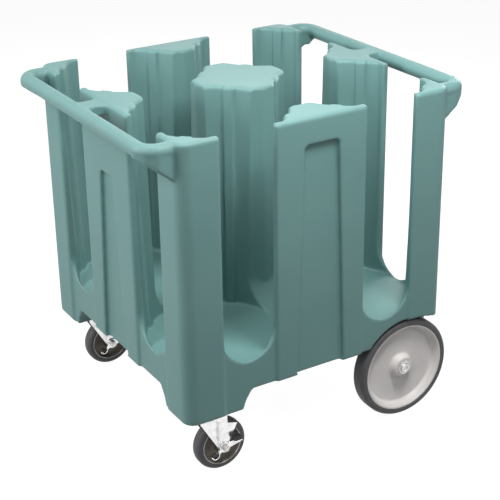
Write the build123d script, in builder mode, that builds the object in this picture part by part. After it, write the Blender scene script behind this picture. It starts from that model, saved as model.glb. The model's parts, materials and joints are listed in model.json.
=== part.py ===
from build123d import *
import math
import os

# A four-well dish caddy. Origin on the floor under the middle, X along its length from the caster
# end to the big-wheel end, Y along the wheel axle, Z up. Millimetres and degrees.

# Moulded body
BODY_SIDE = 700.0
CORNER_R = 30.0
POST_TOP = 820.0
TOP_CHAMFER = 5.0
HEM_Z = 208.0
WALL_RECESS = 6.0
PAD_CHAMFER = 3.0

# Plate wells
WELL_PITCH = 370.0
FLOOR_Z = 280.0
FLOOR_R = 157.0
WELL_TOP_R = 172.0
RIB_WIDTH = 24.0
RIB_RAISE = 6.5

# Outer slots, and the openings from well to well
SLOT_WIDTH = 135.0
SLOT_SILL = 2.0
OPENING_WIDTH = 152.0
RIDGE_RISE = 5.0
RIDGE_HALF = 26.0

# Recessed panels of the middle posts
PANEL_DEPTH = 12.0
PANEL_TOP_HALF = 44.0
PANEL_HEM_HALF = 64.0
PANEL_SIDE_DROP = 61.0
PANEL_END_TOP_HALF = 30.0
PANEL_END_HEM_HALF = 60.0
PANEL_END_DROP = 170.0
PANEL_ROUND = 12.0

# Handles
HANDLE_REACH = 54.0
HANDLE_DIA = 33.0
HANDLE_BEND = 34.0
HANDLE_INSET = 18.7
HANDLE_DROP = 0.5
HANDLE_ROOT = 16.0
GUSSET_SHY = 0.5
GUSSET_NOSE_DROP = 28.0
GUSSET_FOOT_DROP = 84.0
NECK_WIDTH = 50.0
NECK_THICK = 22.0
NECK_DROP = 1.5
NECK_STEP = 18.0
NECK_ROUND = 17.5
NECK_LAP = 5.0

# Feet over the casters
FOOT_Z = 162.0
FOOT_LENGTH = 146.0
FOOT_WIDTH = 114.0
FOOT_FLARE = 24.0
FOOT_CHAMFER = 6.0

# Big wheels and their axle
WHEEL_DIA = 254.0
WHEEL_INSET = 97.5
TYRE_WIDTH = 41.5
TYRE_THICK = 16.0
WHEEL_RECESS = 8.5
RIM_THICK = 9.0
RIM_SHY = 1.5
WEB_THICK = 9.0
WHEEL_HUB_DIA = 66.0
HUB_LENGTH = 47.5
HUB_SHY = 3.0
AXLE_DIA = 16.0
AXLE_SPIN_GAP = 0.08
CAP_DIA = 30.0
CAP_DEPTH = 8.0
END_GAP = 0.3

# Wheel arches and axle legs
ARCH_GAP = 6.0
ARCH_RUN_R = 288.0
LEG_THICK = 44.0
LEG_HALF = 54.0
LEG_END_R = 28.0
SEAT_GAP = 0.05

# Casters
CASTER_INSET_X = 74.0
CASTER_INSET_Y = 59.0
CASTER_WHEEL_DIA = 127.0
CASTER_TYRE_WIDTH = 32.0
CASTER_TYRE_THICK = 15.0
CASTER_TRAIL = 35.0
PLATE_LENGTH = 95.0
PLATE_WIDTH = 67.0
PLATE_THICK = 3.5
PLATE_CORNER = 8.0
BOLT_HOLE_GAP = 0.5
CORE_SHY = 1.0
BOLT_PITCH_X = 75.0
BOLT_PITCH_Y = 45.0
BOLT_DIA = 8.0
BOLT_LENGTH = 22.0
BOLT_HEAD_DIA = 14.0
BOLT_HEAD = 5.0
BOLT_SPARE = 4.0
BOLT_SIDES = 8
RACE_DIA = 60.0
RACE_DEPTH = 10.5
RACE_SLOPE = 5.0
KINGPIN_DIA = 12.0
KINGPIN_HEAD_DIA = 24.0
KINGPIN_HEAD = 3.5
SPIN_GAP = 0.08
FORK_THICK = 3.5
FORK_GAP = 3.0
CROWN_DIA = 66.0
LEG_FRONT_X = -22.0
LEG_REAR_X = 46.0
LEG_SHOULDER = 8.0
FORK_EYE_R = 14.0
FORK_EYE_LAP = 2.0
CORE_HUB_DIA = 34.0
CASTER_AXLE_DIA = 10.0
NUT_DIA = 18.0
NUT_DEPTH = 7.0
GUARD_THICK = 2.5
GUARD_FRONT_X = 20.0
GUARD_REAR_X = 70.0
GUARD_TOP_Z = 130.0
GUARD_FALL = 14.0
GUARD_FOLD = 5.0
GUARD_FOLD_UP = 22.0
LEVER_THICK = 3.0
LEVER_WIDTH = 13.0
LEVER_REACH = 40.0
LEVER_RISE = 8.0
TAB_REACH = 28.0
TAB_DROP = 17.0
PAD_LENGTH = 20.0
PAD_HEIGHT = 10.0
PAD_REACH = 14.0

half = BODY_SIDE / 2
well = WELL_PITCH / 2
slot_r = SLOT_WIDTH / 2
opening_r = OPENING_WIDTH / 2
sill_z = FLOOR_Z + SLOT_SILL
above = 2.0
over_top = POST_TOP + above
wheel_r = WHEEL_DIA / 2
wheel_x = half - WHEEL_INSET
wheel_face_y = half - WHEEL_RECESS
caster_x = CASTER_INSET_X - half
caster_y = half - CASTER_INSET_Y
caster_wheel_r = CASTER_WHEEL_DIA / 2
handle_r = HANDLE_DIA / 2
handle_x = half + HANDLE_REACH
handle_y = half - HANDLE_INSET - handle_r
handle_z = POST_TOP - HANDLE_DROP - handle_r
hub_outer_y = wheel_face_y - HUB_SHY
hub_inner_y = hub_outer_y - HUB_LENGTH
leg_face_y = hub_inner_y - END_GAP
arch_r = wheel_r + ARCH_GAP
arch_top_z = wheel_r + arch_r
os.makedirs("parts", exist_ok=True)


def write(piece, label):
    piece.label = label
    export_step(piece, f"parts/{label}.step")


def flared_u(width, bottom_z):
    """Profile of an open-topped U, its upper edges eased outwards by TOP_CHAMFER."""
    r = width / 2
    spring_z = bottom_z + r
    lip_z = POST_TOP - TOP_CHAMFER
    with BuildSketch() as profile:
        with BuildLine():
            RadiusArc((-r, spring_z), (r, spring_z), -r)
            Polyline(
                (r, spring_z),
                (r, lip_z),
                (r + TOP_CHAMFER, POST_TOP),
                (r + TOP_CHAMFER, over_top),
                (-r - TOP_CHAMFER, over_top),
                (-r - TOP_CHAMFER, POST_TOP),
                (-r, lip_z),
                (-r, spring_z),
            )
        make_face()
    return profile.sketch


def well_profile(inset):
    """Half section of a plate well, a little wider at the top than at the floor."""
    top_r = WELL_TOP_R - inset
    with BuildSketch() as profile:
        Polygon(
            (0, over_top),
            (0, FLOOR_Z),
            (FLOOR_R - inset, FLOOR_Z),
            (top_r, POST_TOP - TOP_CHAMFER),
            (top_r + TOP_CHAMFER, POST_TOP),
            (top_r + TOP_CHAMFER, over_top),
            align=None,
        )
    return profile.sketch


# Moulded body, from its outer block

with BuildPart() as well_space:
    with BuildSketch(Plane.XZ):
        add(well_profile(0))
    revolve(axis=Axis.Z)
    with BuildSketch(Plane.XY.offset(FLOOR_Z - above)):
        with Locations(Rot(0, 0, 45), Rot(0, 0, 135)):
            Rectangle(4 * WELL_TOP_R, RIB_WIDTH)
    extrude(amount=POST_TOP - FLOOR_Z + 2 * above, mode=Mode.SUBTRACT)
    with BuildSketch(Plane.XZ):
        add(well_profile(RIB_RAISE))
    revolve(axis=Axis.Z)

with BuildPart() as slot_space:
    with BuildSketch(Plane.XZ):
        add(flared_u(SLOT_WIDTH, sill_z))
    extrude(amount=half)

with BuildPart() as opening_space:
    with BuildSketch(Plane.YZ):
        add(flared_u(OPENING_WIDTH, sill_z))
    extrude(amount=well / 2, both=True)

# Blunt ridge on a post's tip, beside an opening centred on the origin.
with BuildPart() as tip_ridge:
    tip_y = opening_r - RIDGE_RISE
    with BuildSketch(Plane.XY.offset(sill_z + opening_r / 2)):
        Polygon(
            (-RIDGE_HALF, opening_r),
            (0, tip_y),
            (RIDGE_HALF, opening_r),
            (RIDGE_HALF, opening_r + TOP_CHAMFER),
            (-RIDGE_HALF, opening_r + TOP_CHAMFER),
            align=None,
        )
    extrude(amount=POST_TOP - sill_z - opening_r / 2)
    with BuildSketch(Plane.YZ):
        Polygon(
            (tip_y, POST_TOP - TOP_CHAMFER),
            (tip_y + TOP_CHAMFER, POST_TOP),
            (opening_r + 2 * TOP_CHAMFER, POST_TOP),
            (opening_r + 2 * TOP_CHAMFER, FLOOR_Z),
            (tip_y, FLOOR_Z),
            align=None,
        )
    extrude(amount=2 * RIDGE_HALF, both=True, mode=Mode.INTERSECT)

with BuildPart() as pad_gap:
    with BuildSketch():
        Polygon(
            (slot_r, half - WALL_RECESS),
            (slot_r, half - PAD_CHAMFER),
            (slot_r + PAD_CHAMFER + above, half + above),
            (-slot_r - PAD_CHAMFER - above, half + above),
            (-slot_r, half - PAD_CHAMFER),
            (-slot_r, half - WALL_RECESS),
            align=None,
        )
    extrude(amount=over_top)


def mitred_bend(radius):
    """Corner points of a quarter bend drawn in three straight steps, on the handle's bend centre."""
    mitre_r = radius / math.cos(math.radians(15))
    return [
        (
            handle_x - HANDLE_BEND + mitre_r * math.cos(math.radians(angle)),
            handle_y - HANDLE_BEND + mitre_r * math.sin(math.radians(angle)),
        )
        for angle in (15, 45, 75)
    ]


# Wedge under the elbow at +Y, following the bar's bend down to the corner post.
root_x = half - HANDLE_ROOT
gusset_r = handle_r - GUSSET_SHY
with BuildPart() as gusset:
    with BuildSketch(Plane.XY.offset(POST_TOP - GUSSET_FOOT_DROP - HANDLE_ROOT)):
        Polygon(
            (root_x, handle_y - gusset_r),
            *reversed(mitred_bend(HANDLE_BEND - gusset_r)),
            (handle_x - gusset_r, handle_y - HANDLE_BEND),
            (handle_x + gusset_r, handle_y - HANDLE_BEND),
            *mitred_bend(HANDLE_BEND + gusset_r),
            (root_x, handle_y + gusset_r),
            align=None,
        )
    extrude(amount=handle_z - POST_TOP + GUSSET_FOOT_DROP + HANDLE_ROOT)
    nose_x = handle_x + gusset_r
    underside_slope = (GUSSET_FOOT_DROP - GUSSET_NOSE_DROP) / (nose_x - half)
    with BuildSketch(Plane.XZ):
        Polygon(
            (root_x, handle_z),
            (root_x, POST_TOP - GUSSET_FOOT_DROP - HANDLE_ROOT * underside_slope),
            (nose_x, POST_TOP - GUSSET_NOSE_DROP),
            (nose_x, handle_z),
            align=None,
        )
    extrude(amount=half, both=True, mode=Mode.INTERSECT)

# One end's handle: a round bar with mitred bends, both gussets and a flat neck to the middle post.
with BuildPart() as handle:
    bend = mitred_bend(HANDLE_BEND)
    with BuildLine(Plane.XY.offset(handle_z)):
        Polyline(
            (root_x, -handle_y),
            *((x, -y) for x, y in reversed(bend)),
            *bend,
            (root_x, handle_y),
        )
    with BuildSketch(Plane(origin=(root_x, -handle_y, handle_z), z_dir=(1, 0, 0))):
        Circle(handle_r)
    sweep(transition=Transition.RIGHT)
    add(gusset.part)
    add(mirror(gusset.part, about=Plane.XZ, mode=Mode.PRIVATE))
    with BuildSketch(Plane.XY.offset(POST_TOP - NECK_DROP)) as neck:
        with Locations(((root_x + handle_x) / 2, 0)):
            Rectangle(handle_x - root_x, NECK_WIDTH)
        with Locations((half - HANDLE_ROOT / 2, 0)):
            Rectangle(HANDLE_ROOT, NECK_WIDTH + 2 * NECK_STEP)
        with Locations((handle_x - NECK_LAP / 2, 0)):
            Rectangle(NECK_LAP, NECK_WIDTH + 2 * NECK_STEP)
        inner_corners = neck.vertices().filter_by(lambda v: abs(abs(v.Y) - NECK_WIDTH / 2) < 0.01)
        fillet(inner_corners, NECK_ROUND)
    extrude(amount=-NECK_THICK)

with BuildPart() as body:
    with BuildSketch(Plane.XY.offset(FOOT_Z)):
        RectangleRounded(BODY_SIDE, BODY_SIDE, CORNER_R)
    extrude(amount=POST_TOP - FOOT_Z)
    chamfer(body.edges().group_by(Axis.Z)[-1], TOP_CHAMFER)
    chamfer(body.edges().group_by(Axis.Z)[0], FOOT_CHAMFER)

    # Everything between and behind the two feet is open below the hem.
    foot_inner_x = -half + FOOT_LENGTH
    foot_inner_y = half - FOOT_WIDTH
    with BuildSketch(Plane.XZ) as under_length:
        with BuildLine():
            Polyline(
                (foot_inner_x, FOOT_Z - above),
                (foot_inner_x + FOOT_FLARE / 3, HEM_Z - FOOT_FLARE),
                (foot_inner_x + FOOT_FLARE, HEM_Z),
                (half + above, HEM_Z),
                (half + above, FOOT_Z - above),
                close=True,
            )
        make_face()
    extrude(amount=half + above, both=True, mode=Mode.SUBTRACT)
    with BuildSketch(Plane.YZ.offset(-half - above)) as under_width:
        with BuildLine():
            Polyline(
                (foot_inner_y, FOOT_Z - above),
                (foot_inner_y - FOOT_FLARE / 3, HEM_Z - FOOT_FLARE),
                (foot_inner_y - FOOT_FLARE, HEM_Z),
                (-foot_inner_y + FOOT_FLARE, HEM_Z),
                (-foot_inner_y + FOOT_FLARE / 3, HEM_Z - FOOT_FLARE),
                (-foot_inner_y, FOOT_Z - above),
                close=True,
            )
        make_face()
    extrude(amount=BODY_SIDE, mode=Mode.SUBTRACT)

    with GridLocations(WELL_PITCH, WELL_PITCH, 2, 2):
        add(well_space.part, mode=Mode.SUBTRACT)
    with PolarLocations(0, 4):
        with Locations((-well, 0), (well, 0)):
            add(slot_space.part, mode=Mode.SUBTRACT)
            add(pad_gap.part, mode=Mode.SUBTRACT)
        with Locations((0, -well)):
            add(opening_space.part, mode=Mode.SUBTRACT)
    with PolarLocations(0, 4):
        with Locations(Location((0, -well)), Location((0, -well), (0, 0, 180))):
            add(tip_ridge.part)

    # Recessed panels of the four middle posts, running out at the hem.
    side_panel = (PANEL_TOP_HALF, PANEL_HEM_HALF, POST_TOP - PANEL_SIDE_DROP)
    end_panel = (PANEL_END_TOP_HALF, PANEL_END_HEM_HALF, POST_TOP - PANEL_END_DROP)
    for turn, (top_half, hem_half, top_z) in enumerate((side_panel, end_panel, side_panel, end_panel)):
        face_plane = Plane.XZ.rotated((0, 0, 90 * turn)).offset(half)
        with BuildSketch(face_plane) as panel:
            with BuildLine():
                Polyline(
                    (-hem_half, HEM_Z - above),
                    (-top_half, top_z),
                    (top_half, top_z),
                    (hem_half, HEM_Z - above),
                    close=True,
                )
            make_face()
            fillet(panel.vertices().group_by(Axis.Z)[-1], PANEL_ROUND)
        extrude(amount=-PANEL_DEPTH, mode=Mode.SUBTRACT)

    # Wheel arches: round in front and above, then a slower run out through the end face.
    for side in (1, -1):
        with BuildSketch(Plane.XZ.offset(side * leg_face_y)):
            with Locations((wheel_x, wheel_r)):
                Circle(arch_r)
            with BuildLine():
                run_out = half + above
                run_drop = ARCH_RUN_R - math.sqrt(ARCH_RUN_R**2 - (run_out - wheel_x) ** 2)
                RadiusArc((wheel_x, arch_top_z), (run_out, arch_top_z - run_drop), ARCH_RUN_R)
                Polyline(
                    (run_out, arch_top_z - run_drop),
                    (run_out, wheel_r),
                    (wheel_x, wheel_r),
                    (wheel_x, arch_top_z),
                )
            make_face()
        extrude(amount=side * (half + above - leg_face_y), mode=Mode.SUBTRACT)

    # Legs that carry the axle, each just inboard of its wheel.
    for side in (1, -1):
        with BuildSketch(Plane.XZ.offset(side * leg_face_y)):
            with Locations((wheel_x, wheel_r)):
                Circle(LEG_END_R)
            Polygon(
                (wheel_x - LEG_HALF, HEM_Z + above),
                (wheel_x + LEG_HALF, HEM_Z + above),
                (wheel_x + LEG_END_R, wheel_r),
                (wheel_x - LEG_END_R, wheel_r),
                align=None,
            )
        extrude(amount=-side * LEG_THICK)
    with BuildSketch(Plane.XZ):
        with Locations((wheel_x, wheel_r)):
            Circle(AXLE_DIA / 2 + SEAT_GAP)
    extrude(amount=leg_face_y + above, both=True, mode=Mode.SUBTRACT)

    # Blind holes for the bolts of the caster plates. Threaded shanks and their holes are drawn
    # eight-sided.
    with BuildSketch(Plane.XY.offset(FOOT_Z)):
        with Locations((caster_x, caster_y), (caster_x, -caster_y)):
            with GridLocations(BOLT_PITCH_X, BOLT_PITCH_Y, 2, 2):
                RegularPolygon(BOLT_DIA / 2 + SEAT_GAP, BOLT_SIDES)
    extrude(amount=BOLT_LENGTH - PLATE_THICK + BOLT_SPARE, mode=Mode.SUBTRACT)

    # Both handles, with their gussets and middle necks, are moulded with the body.
    with PolarLocations(0, 2):
        add(handle.part)

write(body.part, "body")

# Big wheels. Each is drawn with its axle along Y, its tyre centred on the origin, outboard at -Y.
tyre_half = TYRE_WIDTH / 2
rim_r = wheel_r - TYRE_THICK
hub_out = -tyre_half + HUB_SHY
hub_in = hub_out + HUB_LENGTH
axle_z = wheel_r
right_wheel = (wheel_x, -(wheel_face_y - tyre_half), axle_z)
left_wheel = (wheel_x, wheel_face_y - tyre_half, axle_z)

with BuildPart() as wheel_disc:
    with BuildSketch():
        Polygon(
            (AXLE_DIA / 2 + AXLE_SPIN_GAP, hub_out),
            (WHEEL_HUB_DIA / 2, hub_out),
            (WHEEL_HUB_DIA / 2, -WEB_THICK),
            (rim_r - RIM_THICK, -WEB_THICK),
            (rim_r - RIM_THICK, -tyre_half + RIM_SHY),
            (rim_r, -tyre_half + RIM_SHY),
            (rim_r, 0),
            (WHEEL_HUB_DIA / 2, 0),
            (WHEEL_HUB_DIA / 2, hub_in),
            (AXLE_DIA / 2 + AXLE_SPIN_GAP, hub_in),
            align=None,
        )
    revolve(axis=Axis.Y)

with BuildPart() as wheel_tyre:
    with BuildSketch():
        with Locations((rim_r + TYRE_THICK / 2, 0)):
            Rectangle(TYRE_THICK, TYRE_WIDTH)
    revolve(axis=Axis.Y)

# Fixed pieces on the axle, the cap drawn for the right-hand side.
cap_y = hub_outer_y + END_GAP
with BuildPart() as axle:
    with BuildSketch(Plane.XZ.offset(-(cap_y + CAP_DEPTH / 2))):
        with Locations((wheel_x, axle_z)):
            Circle(AXLE_DIA / 2)
    extrude(amount=2 * cap_y + CAP_DEPTH)
write(axle.part, "axle")

with BuildPart() as axle_cap:
    with BuildSketch(Plane.XZ.offset(cap_y)):
        with Locations((wheel_x, axle_z)):
            Circle(CAP_DIA / 2)
    extrude(amount=CAP_DEPTH)
    with BuildSketch(Plane.XZ.offset(cap_y)):
        with Locations((wheel_x, axle_z)):
            Circle(AXLE_DIA / 2 + SEAT_GAP)
    extrude(amount=CAP_DEPTH / 2 + SEAT_GAP, mode=Mode.SUBTRACT)

for side, place, turn in (("left", left_wheel, 180), ("right", right_wheel, 0)):
    for piece, name in ((wheel_disc, "disc"), (wheel_tyre, "tyre")):
        with BuildPart() as placed:
            with Locations(Location(place, (0, 0, turn))):
                add(piece.part)
        write(placed.part, f"wheel_{side}_{name}")
    with BuildPart() as placed:
        add(axle_cap.part if side == "right" else mirror(axle_cap.part, about=Plane.XZ, mode=Mode.PRIVATE))
    write(placed.part, f"axle_cap_{side}")

# Casters. Each is drawn with its swivel axis on Z, the wheel trailing towards +X.
plate_z = FOOT_Z - PLATE_THICK
race_z = plate_z - RACE_DEPTH
crown_top = race_z - END_GAP
crown_z = crown_top - FORK_THICK
kingpin_r = KINGPIN_DIA / 2
fork_in = CASTER_TYRE_WIDTH / 2 + FORK_GAP
fork_out = fork_in + FORK_THICK
guard_out = fork_out + GUARD_THICK
lever_in = guard_out + END_GAP
lever_out = lever_in + LEVER_THICK
nut_in = lever_out + END_GAP
hub = (CASTER_TRAIL, caster_wheel_r)
bolt_r = CASTER_AXLE_DIA / 2

# Top plate with the swivel raceway pressed into it.
with BuildPart() as top_plate:
    with BuildSketch(Plane.XY.offset(plate_z)) as outline:
        Rectangle(PLATE_LENGTH, PLATE_WIDTH)
        chamfer(outline.vertices(), PLATE_CORNER)
        with GridLocations(BOLT_PITCH_X, BOLT_PITCH_Y, 2, 2):
            RegularPolygon(BOLT_DIA / 2 + BOLT_HOLE_GAP, BOLT_SIDES, mode=Mode.SUBTRACT)
    extrude(amount=PLATE_THICK)
    with BuildSketch(Plane.XZ):
        Polygon(
            (0, plate_z),
            (RACE_DIA / 2 - RACE_SLOPE, plate_z),
            (RACE_DIA / 2, race_z),
            (0, race_z),
            align=None,
        )
    revolve(axis=Axis.Z)
    with BuildSketch(Plane.XY.offset(race_z)):
        Circle(kingpin_r + SEAT_GAP)
    extrude(amount=RACE_DEPTH + PLATE_THICK, mode=Mode.SUBTRACT)

with BuildPart() as plate_bolts:
    with BuildSketch(Plane.XY.offset(plate_z)):
        with GridLocations(BOLT_PITCH_X, BOLT_PITCH_Y, 2, 2):
            RegularPolygon(BOLT_HEAD_DIA / 2, 6)
    extrude(amount=-BOLT_HEAD)
    with BuildSketch(Plane.XY.offset(plate_z)):
        with GridLocations(BOLT_PITCH_X, BOLT_PITCH_Y, 2, 2):
            RegularPolygon(BOLT_DIA / 2, BOLT_SIDES)
    extrude(amount=BOLT_LENGTH)

with BuildPart() as kingpin:
    with BuildSketch(Plane.XZ):
        Polygon(
            (0, plate_z + PLATE_THICK),
            (kingpin_r, plate_z + PLATE_THICK),
            (kingpin_r, crown_z - END_GAP),
            (KINGPIN_HEAD_DIA / 2, crown_z - END_GAP),
            (KINGPIN_HEAD_DIA / 2, crown_z - END_GAP - KINGPIN_HEAD),
            (0, crown_z - END_GAP - KINGPIN_HEAD),
            align=None,
        )
    revolve(axis=Axis.Z)

# Fork: a pressed crown, and two legs that taper to the axle eyes.
with BuildPart() as fork:
    with BuildSketch(Plane.XY.offset(crown_z)):
        Circle(CROWN_DIA / 2)
        with Locations(((LEG_REAR_X + LEG_FRONT_X) / 2, 0)):
            Rectangle(LEG_REAR_X - LEG_FRONT_X, 2 * fork_out)
    extrude(amount=FORK_THICK)
    for side in (1, -1):
        with BuildSketch(Plane.XZ.offset(side * fork_in)):
            with Locations(hub):
                Circle(FORK_EYE_R)
            Polygon(
                (LEG_FRONT_X, crown_z + FORK_THICK),
                (LEG_FRONT_X, crown_z - LEG_SHOULDER),
                (hub[0] - FORK_EYE_R, hub[1] - FORK_EYE_LAP),
                (hub[0] + FORK_EYE_R, hub[1] + FORK_EYE_LAP),
                (LEG_REAR_X, crown_z - LEG_SHOULDER),
                (LEG_REAR_X, crown_z + FORK_THICK),
                align=None,
            )
            with Locations(hub):
                Circle(bolt_r + SEAT_GAP, mode=Mode.SUBTRACT)
        extrude(amount=side * FORK_THICK)
    with BuildSketch(Plane.XY.offset(crown_z)):
        Circle(kingpin_r + SPIN_GAP)
    extrude(amount=FORK_THICK, mode=Mode.SUBTRACT)

with BuildPart() as wheel_core:
    with BuildSketch():
        core_rim = caster_wheel_r - CASTER_TYRE_THICK
        core_half = CASTER_TYRE_WIDTH / 2 - CORE_SHY
        hub_half = fork_in - END_GAP
        Polygon(
            (bolt_r + SPIN_GAP, -hub_half),
            (CORE_HUB_DIA / 2, -hub_half),
            (CORE_HUB_DIA / 2, -core_half),
            (core_rim, -core_half),
            (core_rim, core_half),
            (CORE_HUB_DIA / 2, core_half),
            (CORE_HUB_DIA / 2, hub_half),
            (bolt_r + SPIN_GAP, hub_half),
            align=None,
        )
    revolve(axis=Axis.Y)

with BuildPart() as caster_tyre:
    with BuildSketch():
        with Locations((caster_wheel_r - CASTER_TYRE_THICK / 2, 0)):
            Rectangle(CASTER_TYRE_THICK, CASTER_TYRE_WIDTH)
    revolve(axis=Axis.Y)

with BuildPart() as wheel_bolt:
    with BuildSketch(Plane.XZ.offset(-fork_out)):
        with Locations(hub):
            RegularPolygon(NUT_DIA / 2, 6)
    extrude(amount=-NUT_DEPTH + 1)
    with BuildSketch(Plane.XZ.offset(-fork_out)):
        with Locations(hub):
            Circle(bolt_r)
    extrude(amount=fork_out + nut_in + NUT_DEPTH + 2)

with BuildPart() as wheel_nut:
    with BuildSketch(Plane.XZ.offset(nut_in)):
        with Locations(hub):
            RegularPolygon(NUT_DIA / 2, 6)
            Circle(bolt_r + SEAT_GAP, mode=Mode.SUBTRACT)
    extrude(amount=NUT_DEPTH)

# Guard plate on the fork's brake side, with a folded front edge.
with BuildPart() as brake_guard:
    with BuildSketch(Plane.XZ.offset(fork_out)):
        with Locations(hub):
            Circle(FORK_EYE_R)
        Polygon(
            (GUARD_FRONT_X, hub[1]),
            (GUARD_FRONT_X, GUARD_TOP_Z),
            (GUARD_REAR_X, GUARD_TOP_Z - GUARD_FALL),
            (hub[0] + FORK_EYE_R, hub[1] + FORK_EYE_R),
            (hub[0] + FORK_EYE_R, hub[1]),
            align=None,
        )
        with Locations(hub):
            Circle(bolt_r + SEAT_GAP, mode=Mode.SUBTRACT)
    extrude(amount=GUARD_THICK)
    with BuildSketch(Plane.XZ.offset(guard_out)):
        Polygon(
            (GUARD_FRONT_X, hub[1] + GUARD_FOLD_UP),
            (GUARD_FRONT_X, GUARD_TOP_Z),
            (GUARD_FRONT_X + GUARD_THICK, GUARD_TOP_Z),
            (GUARD_FRONT_X + GUARD_THICK, hub[1] + GUARD_FOLD_UP),
            align=None,
        )
    extrude(amount=GUARD_FOLD)

# Brake lever: turns on the wheel bolt, with a foot pedal behind and a release tab in front.
tab = (hub[0] - TAB_REACH, hub[1] - TAB_DROP)
pedal = (hub[0] + LEVER_REACH, hub[1] + LEVER_RISE)
with BuildPart() as brake_lever:
    with BuildSketch(Plane.XZ.offset(lever_in)):
        with Locations(hub):
            Circle(FORK_EYE_R - 1)
        with BuildLine():
            Line(hub, pedal)
        trace(line_width=LEVER_WIDTH)
        with BuildLine():
            Line(tab, hub)
        trace(line_width=LEVER_WIDTH * 0.7)
        with Locations(hub):
            Circle(bolt_r + SPIN_GAP, mode=Mode.SUBTRACT)
    extrude(amount=LEVER_THICK)
    with BuildSketch(Plane.XZ.offset(lever_in)):
        with Locations((pedal[0] - PAD_LENGTH / 2, pedal[1] + LEVER_WIDTH / 2 - LEVER_THICK / 2)):
            Rectangle(PAD_LENGTH, LEVER_THICK)
    extrude(amount=PAD_REACH)

with BuildPart() as pedal_pad:
    with BuildSketch(Plane.XZ.offset(lever_out - LEVER_THICK)) as section:
        with Locations((pedal[0] - PAD_LENGTH / 2, pedal[1] + LEVER_WIDTH / 2 + PAD_HEIGHT / 2)):
            Rectangle(PAD_LENGTH, PAD_HEIGHT)
        chamfer(section.vertices().group_by(Axis.Z)[-1], PAD_HEIGHT / 4)
    extrude(amount=PAD_REACH)

fixed_on_swivel = (
    (top_plate, "plate"),
    (plate_bolts, "plate_bolts"),
    (kingpin, "kingpin"),
    (fork, "fork"),
    (wheel_bolt, "bolt"),
    (wheel_nut, "nut"),
    (brake_guard, "brake_guard"),
    (brake_lever, "brake_lever"),
    (pedal_pad, "pedal_pad"),
)
on_wheel = ((wheel_core, "wheel_core"), (caster_tyre, "tyre"))
for side, place_y in (("left", caster_y), ("right", -caster_y)):
    for piece, name in fixed_on_swivel:
        with BuildPart() as placed:
            with Locations((caster_x, place_y)):
                add(piece.part)
        write(placed.part, f"caster_{side}_{name}")
    for piece, name in on_wheel:
        with BuildPart() as placed:
            with Locations((caster_x + CASTER_TRAIL, place_y, caster_wheel_r)):
                add(piece.part)
        write(placed.part, f"caster_{side}_{name}")
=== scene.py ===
import json
import math

import bmesh
import bpy
from mathutils import Matrix, Vector


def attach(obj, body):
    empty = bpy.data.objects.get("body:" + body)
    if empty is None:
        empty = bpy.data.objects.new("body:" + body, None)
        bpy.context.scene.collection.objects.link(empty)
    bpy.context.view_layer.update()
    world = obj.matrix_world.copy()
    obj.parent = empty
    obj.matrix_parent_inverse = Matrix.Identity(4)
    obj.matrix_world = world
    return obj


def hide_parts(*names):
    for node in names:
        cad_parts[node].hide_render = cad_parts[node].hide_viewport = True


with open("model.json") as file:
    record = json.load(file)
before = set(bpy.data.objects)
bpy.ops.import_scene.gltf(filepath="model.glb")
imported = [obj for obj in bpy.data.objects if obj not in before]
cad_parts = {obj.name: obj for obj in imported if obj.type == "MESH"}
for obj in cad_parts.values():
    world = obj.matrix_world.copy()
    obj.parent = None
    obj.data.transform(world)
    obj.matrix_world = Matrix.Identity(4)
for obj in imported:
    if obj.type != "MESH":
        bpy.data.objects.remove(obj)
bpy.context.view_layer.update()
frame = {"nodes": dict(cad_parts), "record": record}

# The dish caddy's own sizes, in metres, as part.py has them in millimetres.
BODY_HALF = 0.350
WELL = 0.185
HANDLE_X = 0.404
HANDLE_R = 0.0165
HANDLE_BEND = 0.034
HANDLE_Y = 0.3148
HANDLE_Z = 0.803
WHEEL_X = 0.2525
WHEEL_Y = 0.32075
WHEEL_R = 0.127
CAP_FACE_Y = 0.3388
CASTER_X = -0.276
CASTER_Y = 0.291
CASTER_TRAIL = 0.035
CASTER_R = 0.0635
HUB_X = CASTER_X + CASTER_TRAIL

# The curled tab at the front end of a brake lever, read from the photograph.
LEVER_IN_Y = 0.0255
TAB_X = -0.2695
TAB_Z = 0.0545
TAB_R = 0.0105
TAB_WIDTH = 0.011
TAB_THICK = 0.002
# The black pad in the curl is painted shade: a dark block where the curl's pocket is only shaded.
SHADE_PAD_LENGTH = 0.0135
SHADE_PAD_HEIGHT = 0.0085
SHADE_PAD_DROP = 0.0012

# Mesh resolutions.
SCREW_SIDES = 60
SCREW_LOBES = 6
BIG_WHEEL_STEPS = 120
CASTER_STEPS = 96
BODY_VOXEL = 0.0031
BODY_TRIANGLES = 185000


# Colours and node helpers

def linear(hex_colour):
    """Linear RGBA from an sRGB hex colour."""
    channels = [int(hex_colour[i:i + 2], 16) / 255 for i in (1, 3, 5)]
    return tuple(c / 12.92 if c <= 0.04045 else ((c + 0.055) / 1.055) ** 2.4 for c in channels) + (1.0,)


def node(material, kind, settings=None, links=None, **values):
    """Adds a node: settings are its own properties, values its inputs, links its linked inputs."""
    made = material.node_tree.nodes.new(kind)
    for name, value in (settings or {}).items():
        setattr(made, name, value)
    for name, value in values.items():
        made.inputs[name.replace("_", " ")].default_value = value
    for name, output in (links or {}).items():
        material.node_tree.links.new(output, made.inputs[name])
    return made


def surface(name, **values):
    """A new material and its Principled node, with those values set on the node's own sockets."""
    material = bpy.data.materials.new(name)
    material.use_nodes = True
    shader = material.node_tree.nodes["Principled BSDF"]
    for socket, value in values.items():
        shader.inputs[socket.replace("_", " ")].default_value = value
    return material, shader


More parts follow.
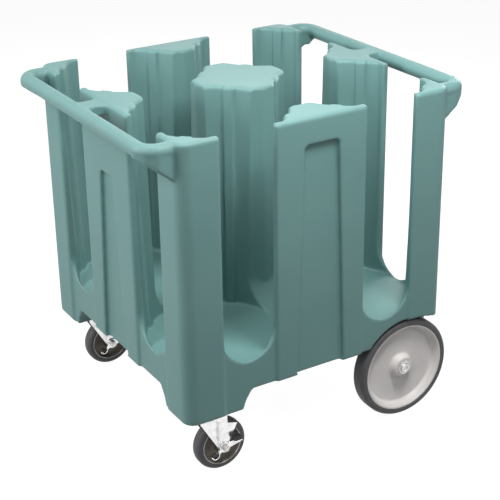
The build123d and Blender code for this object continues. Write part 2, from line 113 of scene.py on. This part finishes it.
def two_tones(material, coordinates, scale, low, high, tone_a, tone_b, detail=4.0):
    """Colour that wanders between two close tones over a real distance."""
    cloud = node(material, "ShaderNodeTexNoise", links={"Vector": coordinates}, Scale=scale, Detail=detail)
    ramp = node(material, "ShaderNodeValToRGB", links={"Fac": cloud.outputs["Fac"]})
    ramp.color_ramp.elements[0].position = low
    ramp.color_ramp.elements[1].position = high
    ramp.color_ramp.elements[0].color = linear(tone_a)
    ramp.color_ramp.elements[1].color = linear(tone_b)
    return ramp.outputs["Color"]


def eased_edges(material, radius):
    """Normals that round every edge of a moulded or pressed piece by a radius."""
    return node(material, "ShaderNodeBevel", {"samples": 6}, Radius=radius).outputs["Normal"]


def relief(material, shader, height, strength, distance, under=None):
    """Bump on the shader's normal, over an eased normal where one is given."""
    links = {"Height": height}
    if under is not None:
        links["Normal"] = under
    bump = node(material, "ShaderNodeBump", links=links, Strength=strength, Distance=distance)
    material.node_tree.links.new(bump.outputs["Normal"], shader.inputs["Normal"])


def spread(material, height, low, high):
    """Roughness between two values, following a pattern."""
    return node(material, "ShaderNodeMapRange", links={"Value": height}, To_Min=low, To_Max=high).outputs["Result"]


# Materials

def rotomoulded_polyethylene():
    """Green-grey polyethylene cast in a heated, blasted mould: an even colour, a soft satin sheen and
    a skin of very fine pebbles about 1.5 mm apart, drawn a little coarser so that it shows."""
    material, shader = surface("rotomoulded_polyethylene", IOR=1.51)
    place = node(material, "ShaderNodeTexCoord").outputs["Object"]
    tint = two_tones(material, place, 7.0, 0.3, 0.7, "#628A88", "#68908D")
    material.node_tree.links.new(tint, shader.inputs["Base Color"])
    skin = node(material, "ShaderNodeTexNoise", links={"Vector": place}, Scale=520.0, Detail=2.0)
    patches = node(material, "ShaderNodeTexNoise", links={"Vector": place}, Scale=14.0, Detail=3.0)
    dull = spread(material, patches.outputs["Fac"], 0.5, 0.6)
    material.node_tree.links.new(dull, shader.inputs["Roughness"])
    relief(material, shader, skin.outputs["Fac"], 0.16, 0.0006, eased_edges(material, 0.0045))
    return material


def thermoplastic_rubber():
    """Grey thermoplastic rubber moulded on the wheel: nearly matt, with faint dusty patches and
    fine mould marks about 2 mm apart."""
    material, shader = surface("thermoplastic_rubber", IOR=1.5)
    place = node(material, "ShaderNodeTexCoord").outputs["Object"]
    tint = two_tones(material, place, 38.0, 0.35, 0.75, "#434345", "#515153")
    material.node_tree.links.new(tint, shader.inputs["Base Color"])
    grain = node(material, "ShaderNodeTexNoise", links={"Vector": place}, Scale=480.0, Detail=3.0)
    dull = spread(material, grain.outputs["Fac"], 0.48, 0.66)
    material.node_tree.links.new(dull, shader.inputs["Roughness"])
    relief(material, shader, grain.outputs["Fac"], 0.2, 0.0005)
    return material


def wheel_polypropylene():
    """Light warm grey polypropylene, injection moulded: smooth and satin, with faint flow clouding."""
    material, shader = surface("wheel_polypropylene", IOR=1.49)
    place = node(material, "ShaderNodeTexCoord").outputs["Object"]
    tint = two_tones(material, place, 22.0, 0.3, 0.7, "#E4E0DE", "#EBE8E6")
    material.node_tree.links.new(tint, shader.inputs["Base Color"])
    grain = node(material, "ShaderNodeTexNoise", links={"Vector": place}, Scale=650.0, Detail=2.0)
    dull = spread(material, grain.outputs["Fac"], 0.36, 0.46)
    material.node_tree.links.new(dull, shader.inputs["Roughness"])
    relief(material, shader, grain.outputs["Fac"], 0.08, 0.0003)
    return material


def core_polypropylene():
    """Brownish grey polypropylene of the caster cores, injection moulded, a little glossier."""
    material, shader = surface("core_polypropylene", IOR=1.49)
    place = node(material, "ShaderNodeTexCoord").outputs["Object"]
    tint = two_tones(material, place, 40.0, 0.3, 0.7, "#5F574D", "#746B60")
    material.node_tree.links.new(tint, shader.inputs["Base Color"])
    grain = node(material, "ShaderNodeTexNoise", links={"Vector": place}, Scale=500.0, Detail=3.0)
    dull = spread(material, grain.outputs["Fac"], 0.34, 0.48)
    material.node_tree.links.new(dull, shader.inputs["Roughness"])
    relief(material, shader, grain.outputs["Fac"], 0.12, 0.0004)
    return material


def plated_steel(name, pale, dark, low, high, ease):
    """Pressed steel under zinc or bright chrome plate: metallic, with small tonal clouds and the
    slight orange-peel ripple that pressing and plating leave, about 4 mm from crest to crest."""
    material, shader = surface(name, Metallic=1.0)
    place = node(material, "ShaderNodeTexCoord").outputs["Object"]
    tint = two_tones(material, place, 60.0, 0.3, 0.72, dark, pale)
    material.node_tree.links.new(tint, shader.inputs["Base Color"])
    ripple = node(material, "ShaderNodeTexNoise", links={"Vector": place}, Scale=240.0, Detail=3.0)
    dull = spread(material, ripple.outputs["Fac"], low, high)
    material.node_tree.links.new(dull, shader.inputs["Roughness"])
    relief(material, shader, ripple.outputs["Fac"], 0.12, 0.0003, eased_edges(material, ease))
    return material


def ribbed_rubber():
    """Black moulded rubber of the pedal pads, with grip ribs 2.5 mm apart across the foot; also the black block of
    painted shade inside each release tab's curl.
    """
    material, shader = surface("ribbed_rubber", IOR=1.5)
    place = node(material, "ShaderNodeTexCoord").outputs["Object"]
    tint = two_tones(material, place, 90.0, 0.3, 0.7, "#1D1D1E", "#2A2A2B")
    material.node_tree.links.new(tint, shader.inputs["Base Color"])
    ribs = node(
        material, "ShaderNodeTexWave", {"wave_type": "BANDS", "bands_direction": "X"},
        links={"Vector": place}, Scale=62.8, Distortion=0.0,
    )
    dull = spread(material, ribs.outputs["Fac"], 0.5, 0.7)
    material.node_tree.links.new(dull, shader.inputs["Roughness"])
    relief(material, shader, ribs.outputs["Fac"], 0.5, 0.0008)
    return material


polyethylene = rotomoulded_polyethylene()
rubber = thermoplastic_rubber()
wheel_plastic = wheel_polypropylene()
core_plastic = core_polypropylene()
zinc = plated_steel("zinc_plated_steel", "#D4D4D2", "#B4B4B2", 0.24, 0.40, 0.0008)
chrome = plated_steel("bright_plated_steel", "#EDEDED", "#D2D2D2", 0.12, 0.24, 0.0012)
pedal_and_shade_pad_rubber = ribbed_rubber()

finishes = {
    "moulded_polyethylene": polyethylene,
    "grey_rubber": rubber,
    "wheel_polypropylene": wheel_plastic,
    "core_polypropylene": core_plastic,
    "zinc_plated_steel": zinc,
    "chromed_steel": chrome,
    "black_rubber": pedal_and_shade_pad_rubber,
}
for subpart in frame["record"]["subparts"]:
    for material_slot in frame["nodes"][subpart["node"]].material_slots:
        material_slot.material = finishes[subpart["material_slot"]]


# Piece helpers

def piece(mesh_data, name, body, material, sharp=40.0):
    """Closes a bmesh into a named object that rides on a CAD body."""
    bmesh.ops.remove_doubles(mesh_data, verts=mesh_data.verts, dist=1e-6)
    bmesh.ops.recalc_face_normals(mesh_data, faces=mesh_data.faces)
    mesh = bpy.data.meshes.new(name)
    mesh_data.to_mesh(mesh)
    mesh_data.free()
    mesh.polygons.foreach_set("use_smooth", [True] * len(mesh.polygons))
    mesh.set_sharp_from_angle(angle=math.radians(sharp))
    made = bpy.data.objects.new(name, mesh)
    bpy.context.scene.collection.objects.link(made)
    made.data.materials.append(material)
    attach(made, body)
    return made


def turned(section, centre, roundings, steps):
    """A closed ring turned about the wheel's axis. section holds (radius, outboard) pairs in
    millimetres, and roundings the radius that rounds each of its corners."""
    shape = bmesh.new()
    corners = [shape.verts.new((radius / 1000, -out / 1000, 0)) for radius, out in section]
    for here, there in zip(corners, corners[1:] + corners[:1]):
        shape.edges.new((here, there))
    for corner, rounding in zip(corners, roundings):
        if rounding:
            bmesh.ops.bevel(
                shape, geom=[corner], offset=rounding / 1000, offset_type="OFFSET", affect="VERTICES",
                segments=4, profile=0.5, material=-1,
            )
    bmesh.ops.spin(
        shape, geom=shape.verts[:] + shape.edges[:], cent=(0, 0, 0), axis=(0, 1, 0),
        angle=2 * math.pi, steps=steps, use_merge=True,
    )
    bmesh.ops.translate(shape, vec=centre, verts=shape.verts)
    return shape


def outboard_left(shape, side, centre):
    """Turns a wheel piece drawn for the right-hand side round to the left."""
    if side == "left":
        bmesh.ops.rotate(shape, cent=centre, matrix=Matrix.Rotation(math.pi, 3, "Z"), verts=shape.verts)


def screw_cap(seat, hand):
    """A flanged screw that closes the axle's end, with a six-lobed socket: a stack of rings that
    each lie at a radius and a height above the seat, in millimetres, facing outboard."""
    shape = bmesh.new()
    levels = (
        (17.0, 0.0), (17.0, 1.6), (16.4, 2.2), (13.2, 2.2), (12.4, 1.5), (11.6, 2.2), (11.6, 5.6),
        (10.6, 6.8), (6.4, 6.8), (6.1, 6.3), (5.8, 4.35),
    )
    rings = []
    for radius, height in levels:
        ring = []
        for k in range(SCREW_SIDES):
            turn = 2 * math.pi * k / SCREW_SIDES
            lobed = radius + (0.9 * math.cos(SCREW_LOBES * turn) if radius < 7 else 0.0)
            x, z = lobed / 1000 * math.cos(turn), lobed / 1000 * math.sin(turn)
            ring.append(shape.verts.new((seat[0] + x, seat[1] + hand * height / 1000, seat[2] + z)))
        rings.append(ring)
    for low, high in zip(rings, rings[1:]):
        for k in range(SCREW_SIDES):
            j = (k + 1) % SCREW_SIDES
            shape.faces.new((low[k], low[j], high[j], high[k]))
    shape.faces.new(rings[0])
    shape.faces.new(rings[-1])
    return shape


# Moulded body: the CAD body with its handles drawn as smooth bars, and every edge softened as a
# casting's are

def handle_bar(shape, end):
    """Adds a bar with two smooth bends to the shape, over that end's mitred one."""
    before = set(shape.verts)
    ring = bmesh.ops.create_circle(shape, cap_ends=False, segments=40, radius=HANDLE_R + 0.0006)["verts"]
    start_x = BODY_HALF - 0.012
    bend_x = HANDLE_X - HANDLE_BEND
    bmesh.ops.rotate(shape, cent=(0, 0, 0), matrix=Matrix.Rotation(math.pi / 2, 3, "Y"), verts=ring)
    bmesh.ops.translate(shape, vec=(start_x, -HANDLE_Y, HANDLE_Z), verts=ring)

    def run(edges, step):
        grown = bmesh.ops.extrude_edge_only(shape, edges=edges)["geom"]
        tip = [v for v in grown if isinstance(v, bmesh.types.BMVert)]
        bmesh.ops.translate(shape, vec=step, verts=tip)
        return [e for e in grown if isinstance(e, bmesh.types.BMEdge)]

    def turn(edges, centre):
        made = bmesh.ops.spin(
            shape, geom=edges, cent=centre, axis=(0, 0, 1), angle=math.pi / 2, steps=14, use_merge=False,
        )
        return [e for e in made["geom_last"] if isinstance(e, bmesh.types.BMEdge)]

    edges = run(list({e for v in ring for e in v.link_edges}), (bend_x - start_x, 0, 0))
    edges = turn(edges, (bend_x, -HANDLE_Y + HANDLE_BEND, HANDLE_Z))
    edges = run(edges, (0, 2 * (HANDLE_Y - HANDLE_BEND), 0))
    edges = turn(edges, (bend_x, HANDLE_Y - HANDLE_BEND, HANDLE_Z))
    run(edges, (start_x - bend_x, 0, 0))
    bmesh.ops.holes_fill(shape, edges=[e for e in shape.edges if e.is_boundary])
    bar = [v for v in shape.verts if v not in before]
    if end == "caster":
        bmesh.ops.rotate(shape, cent=(0, 0, 0), matrix=Matrix.Rotation(math.pi, 3, "Z"), verts=bar)


def blunt_tips(shape):
    """Adds a leaning wedge at both sides of each outer slot, where the cast posts end about 15 mm
    thick instead of running out to a feather edge."""
    for well_x in (-WELL, WELL):
        for well_y in (-WELL, WELL):
            for across in (False, True):
                for side in (-1, 1):
                    outward = 1 if (well_x if across else well_y) > 0 else -1
                    corners = []
                    for out, beside, z in (
                        (0.160, 0.0675, 0.8195), (0.149, 0.0675, 0.8195), (0.1475, 0.0925, 0.8195),
                        (0.153, 0.0675, 0.44), (0.1472, 0.0675, 0.44), (0.1462, 0.0705, 0.44),
                    ):
                        along, aside = outward * out, side * beside
                        x, y = (along, aside) if across else (aside, along)
                        corners.append(shape.verts.new((well_x + x, well_y + y, z)))
                    bmesh.ops.convex_hull(shape, input=corners)


def finished_mesh(made, kind, **settings):
    """Applies one modifier to an object by taking its evaluated mesh."""
    step = made.modifiers.new(kind.lower(), kind)
    for name, value in settings.items():
        setattr(step, name, value)
    graph = bpy.context.evaluated_depsgraph_get()
    mesh = bpy.data.meshes.new_from_object(made.evaluated_get(graph))
    made.modifiers.clear()
    made.data = mesh


def moulded_body():
    """The body as it leaves the mould: one skin over posts, gussets and bars, its edges softened by
    a fine remesh."""
    shape = bmesh.new()
    shape.from_mesh(frame["nodes"]["body"].data)
    bmesh.ops.remove_doubles(shape, verts=shape.verts, dist=1e-6)
    for end in ("wheel", "caster"):
        handle_bar(shape, end)
    blunt_tips(shape)
    bmesh.ops.recalc_face_normals(shape, faces=shape.faces)
    mesh = bpy.data.meshes.new("moulded_body")
    shape.to_mesh(mesh)
    shape.free()
    made = bpy.data.objects.new("moulded_body", mesh)
    bpy.context.scene.collection.objects.link(made)
    finished_mesh(made, "REMESH", mode="VOXEL", voxel_size=BODY_VOXEL, adaptivity=0.0, use_smooth_shade=True)
    finished_mesh(made, "SMOOTH", factor=0.5, iterations=3)
    faces = len(made.data.polygons) * 2
    finished_mesh(
        made, "DECIMATE", decimate_type="COLLAPSE", ratio=BODY_TRIANGLES / faces, use_collapse_triangulate=True,
    )
    made.data.materials.clear()
    made.data.materials.append(polyethylene)
    made.data.polygons.foreach_set("use_smooth", [True] * len(made.data.polygons))
    finished_mesh(made, "WEIGHTED_NORMAL", mode="FACE_AREA_WITH_ANGLE", weight=50)
    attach(made, "chassis")
    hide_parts("body")


moulded_body()


# Big wheels

for side in ("left", "right"):
    hand = 1 if side == "left" else -1
    centre = Vector((WHEEL_X, hand * WHEEL_Y, WHEEL_R))

    tyre_section = (
        (110.8, -19.2), (112.6, -20.75), (121.5, -20.75), (127.0, -15.0),
        (127.0, 15.0), (121.5, 20.75), (112.6, 20.75), (110.8, 19.2),
    )
    tyre = turned(tyre_section, centre, (0, 1, 3, 3.5, 3.5, 3, 1, 0), BIG_WHEEL_STEPS)
    outboard_left(tyre, side, centre)
    tyre = piece(tyre, f"wheel_{side}_moulded_tyre", f"wheel_{side}", rubber)
    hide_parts(f"wheel_{side}_tyre")

    disc_section = (
        (8.08, 17.75), (24.0, 17.75), (26.0, 15.6), (29.0, 4.0), (34.0, 1.2), (96.0, 1.2), (99.0, 3.6),
        (102.2, 12.6), (105.6, 16.2), (107.2, 18.9), (110.9, 19.2),
        (110.9, -19.2), (104.5, -18.0), (101.5, -6.8), (33.0, -6.8), (24.0, -29.0), (8.08, -29.75),
    )
    disc_rounding = (0, 1.5, 1, 3, 2.5, 1.5, 1, 1.5, 0.8, 0.6, 0, 0, 1, 2, 2, 1, 0)
    disc = turned(disc_section, centre, disc_rounding, BIG_WHEEL_STEPS)
    outboard_left(disc, side, centre)
    disc = piece(disc, f"wheel_{side}_moulded_disc", f"wheel_{side}", wheel_plastic)
    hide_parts(f"wheel_{side}_disc")

    screw = screw_cap((WHEEL_X, hand * CAP_FACE_Y, WHEEL_R), hand)
    screw = piece(screw, f"axle_screw_{side}", "chassis", zinc, 30.0)
    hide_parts(f"axle_cap_{side}")


# Caster wheels, each drawn with its outboard face at -Y

for side in ("left", "right"):
    hand = 1 if side == "left" else -1
    centre = Vector((HUB_X, hand * CASTER_Y, CASTER_R))

    tyre_section = (
        (48.4, -14.2), (50.0, -15.9), (57.5, -15.9), (63.5, -9.5),
        (63.5, 9.5), (57.5, 15.9), (50.0, 15.9), (48.4, 14.2),
    )
    tyre = turned(tyre_section, centre, (0, 1, 3, 4, 4, 3, 1, 0), CASTER_STEPS)
    tyre = piece(tyre, f"caster_{side}_moulded_tyre", f"caster_wheel_{side}", rubber)
    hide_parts(f"caster_{side}_tyre")

    core_section = (
        (5.08, 18.7), (11.5, 18.7), (13.5, 16.0), (17.0, 9.0), (20.0, 6.0), (39.5, 5.0), (43.0, 9.0),
        (46.6, 14.6), (48.5, 15.0), (48.5, -15.0), (46.6, -14.6), (43.0, -9.0), (39.5, -5.0),
        (20.0, -6.0), (17.0, -9.0), (13.5, -16.0), (11.5, -18.7), (5.08, -18.7),
    )
    core_rounding = (0, 1, 1, 1, 1.5, 1.5, 1, 0.6, 0, 0, 0.6, 1, 1.5, 1.5, 1, 1, 1, 0)
    core = turned(core_section, centre, core_rounding, CASTER_STEPS)
    core = piece(core, f"caster_{side}_moulded_core", f"caster_wheel_{side}", core_plastic)
    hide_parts(f"caster_{side}_wheel_core")

    for face in (-1, 1):
        lip_section = ((46.9, face * 14.0), (49.3, face * 14.0), (49.1, face * 16.0), (47.3, face * 16.2))
        lip = turned(lip_section, centre, (0, 0, 0.5, 0.5), CASTER_STEPS)
        which = "outer" if face < 0 else "inner"
        piece(lip, f"caster_{side}_{which}_lip", f"caster_wheel_{side}", wheel_plastic)

    # The lever's front end: a tab curled up for a toe to release the brake, round a small black pad that is
    # painted shade: a dark block standing in for the shade inside the curl.
    tab = Vector((TAB_X, centre.y - LEVER_IN_Y, TAB_Z))
    curl = bmesh.new()
    section = [curl.verts.new((tab.x + reach, tab.y - out, tab.z)) for reach, out in (
        (TAB_R - TAB_THICK, 0.0), (TAB_R, 0.0), (TAB_R, TAB_WIDTH), (TAB_R - TAB_THICK, TAB_WIDTH),
    )]
    start = curl.faces.new(section)
    bmesh.ops.rotate(curl, cent=tab, matrix=Matrix.Rotation(math.radians(-25), 3, "Y"), verts=section)
    bmesh.ops.spin(
        curl, geom=[start, *start.edges, *start.verts], cent=tab, axis=(0, 1, 0),
        angle=math.radians(195), steps=18, use_merge=False,
    )
    piece(curl, f"caster_{side}_release_tab", f"brake_{side}", chrome)
    # Painted shade: a black block fills the curl so that its pocket shows dark.
    shade_pad = bmesh.new()
    bmesh.ops.create_cube(shade_pad, size=1.0)
    bmesh.ops.scale(shade_pad, vec=(SHADE_PAD_LENGTH, TAB_WIDTH - 0.001, SHADE_PAD_HEIGHT), verts=shade_pad.verts)
    bmesh.ops.bevel(
        shade_pad, geom=shade_pad.edges[:], offset=0.0022, affect="EDGES", segments=3, profile=0.5, material=-1,
    )
    bmesh.ops.translate(shade_pad, vec=tab + Vector((0, -TAB_WIDTH / 2, -SHADE_PAD_DROP)), verts=shade_pad.verts)
    piece(shade_pad, f"caster_{side}_curl_shade_pad", f"brake_{side}", pedal_and_shade_pad_rubber)


# Floor, light and camera

def studio_floor():
    """Plain pale floor that shows white to the camera, and keeps the object's shadow."""
    shape = bmesh.new()
    bmesh.ops.create_grid(shape, x_segments=1, y_segments=1, size=30.0)
    mesh = bpy.data.meshes.new("studio_floor")
    shape.to_mesh(mesh)
    shape.free()
    floor = bpy.data.objects.new("studio_floor", mesh)
    bpy.context.scene.collection.objects.link(floor)
    material, shader = surface("studio_paper", Roughness=0.9)
    shader.inputs["Base Color"].default_value = linear("#7C7C7C")
    shader.inputs["Specular IOR Level"].default_value = 0.0
    seen = node(material, "ShaderNodeLightPath")
    either = node(
        material, "ShaderNodeMath", {"operation": "MAXIMUM"},
        links={0: seen.outputs["Is Camera Ray"], 1: seen.outputs["Is Glossy Ray"]},
    )
    lift = node(material, "ShaderNodeMath", {"operation": "MULTIPLY"}, links={0: either.outputs[0]})
    lift.inputs[1].default_value = 0.95
    shader.inputs["Emission Color"].default_value = (1, 1, 1, 1)
    material.node_tree.links.new(lift.outputs[0], shader.inputs["Emission Strength"])
    mesh.materials.append(material)


def studio_world():
    """Soft even surround, white wherever the camera or a reflection meets it."""
    world = bpy.data.worlds.new("studio_surround")
    bpy.context.scene.world = world
    world.use_nodes = True
    nodes = world.node_tree.nodes
    background = nodes["Background"]
    background.inputs["Color"].default_value = (1, 1, 1, 1)
    seen = nodes.new("ShaderNodeLightPath")
    lift = nodes.new("ShaderNodeMapRange")
    lift.inputs["To Min"].default_value = 0.005
    lift.inputs["To Max"].default_value = 1.0
    either = nodes.new("ShaderNodeMath")
    either.operation = "MAXIMUM"
    world.node_tree.links.new(seen.outputs["Is Camera Ray"], either.inputs[0])
    world.node_tree.links.new(seen.outputs["Is Glossy Ray"], either.inputs[1])
    world.node_tree.links.new(either.outputs[0], lift.inputs["Value"])
    world.node_tree.links.new(lift.outputs["Result"], background.inputs["Strength"])


def softbox(name, place, aim, size, watts):
    """Soft lamp that points at a spot on the object."""
    lamp = bpy.data.lights.new(name, "AREA")
    lamp.shape = "RECTANGLE"
    lamp.size, lamp.size_y = size
    lamp.energy = watts
    made = bpy.data.objects.new(name, lamp)
    made.location = place
    made.rotation_euler = (Vector(aim) - Vector(place)).to_track_quat("-Z", "Y").to_euler()
    bpy.context.scene.collection.objects.link(made)


FOCAL_PIXELS = 1268.5
PHOTO_PIXELS = 500
CAMERA_PLACE = (-1.4523, -2.4416, 1.6719)


def photo_camera():
    """Camera solved from the photograph: 31 degrees round from the long side, looking down. The
    photograph's uprights were made parallel, which would take a shift of most of a frame and carry
    the object out of every other view, so this is the nearest camera that has a small shift."""
    a, e, r = math.radians(-31.22), math.radians(23.22), math.radians(-0.86)
    back = Vector((math.sin(a) * math.cos(e), -math.cos(a) * math.cos(e), math.sin(e)))
    right = Vector((math.cos(a), math.sin(a), 0))
    up = right.cross(-back)
    turned_right = math.cos(r) * right + math.sin(r) * up
    turned_up = -math.sin(r) * right + math.cos(r) * up
    lens = bpy.data.cameras.new("photo_camera")
    lens.sensor_width = 36.0
    lens.lens = FOCAL_PIXELS / PHOTO_PIXELS * lens.sensor_width
    lens.shift_y = -0.06
    lens.clip_end = 100.0
    made = bpy.data.objects.new("photo_camera", lens)
    axes = Matrix((turned_right, turned_up, back)).transposed()
    made.matrix_world = Matrix.Translation(CAMERA_PLACE) @ axes.to_4x4()
    bpy.context.scene.collection.objects.link(made)
    bpy.context.scene.camera = made


studio_floor()
studio_world()
softbox("corner_softbox", (-1.1, -1.35, 1.75), (-0.1, -0.2, 0.75), (0.5, 0.5), 8.0)
softbox("left_softbox", (-1.8, 0.8, 1.9), (-0.2, 0.2, 0.7), (0.7, 0.7), 18.5)
softbox("low_left_softbox", (-2.0, 0.2, 1.2), (-0.2, 0.0, 0.6), (0.6, 0.6), 18.0)
softbox("right_softbox", (0.1, -0.85, 1.75), (0.1, -0.3, 0.6), (0.4, 0.4), 18.0)
softbox("low_right_softbox", (1.3, -1.7, 1.1), (0.25, -0.34, 0.2), (0.5, 0.5), 5.0)
softbox("back_softbox", (1.6, 2.6, 2.1), (0, 0, 0.8), (1.0, 1.0), 12.0)
softbox("top_softbox", (-0.35, -0.15, 2.5), (-0.2, 0, 0.7), (0.3, 0.3), 13.0)
softbox("far_softbox", (2.4, 1.1, 1.3), (0, 0, 0.5), (0.9, 0.9), 28.0)
photo_camera()
bpy.context.scene.view_settings.view_transform = "Standard"
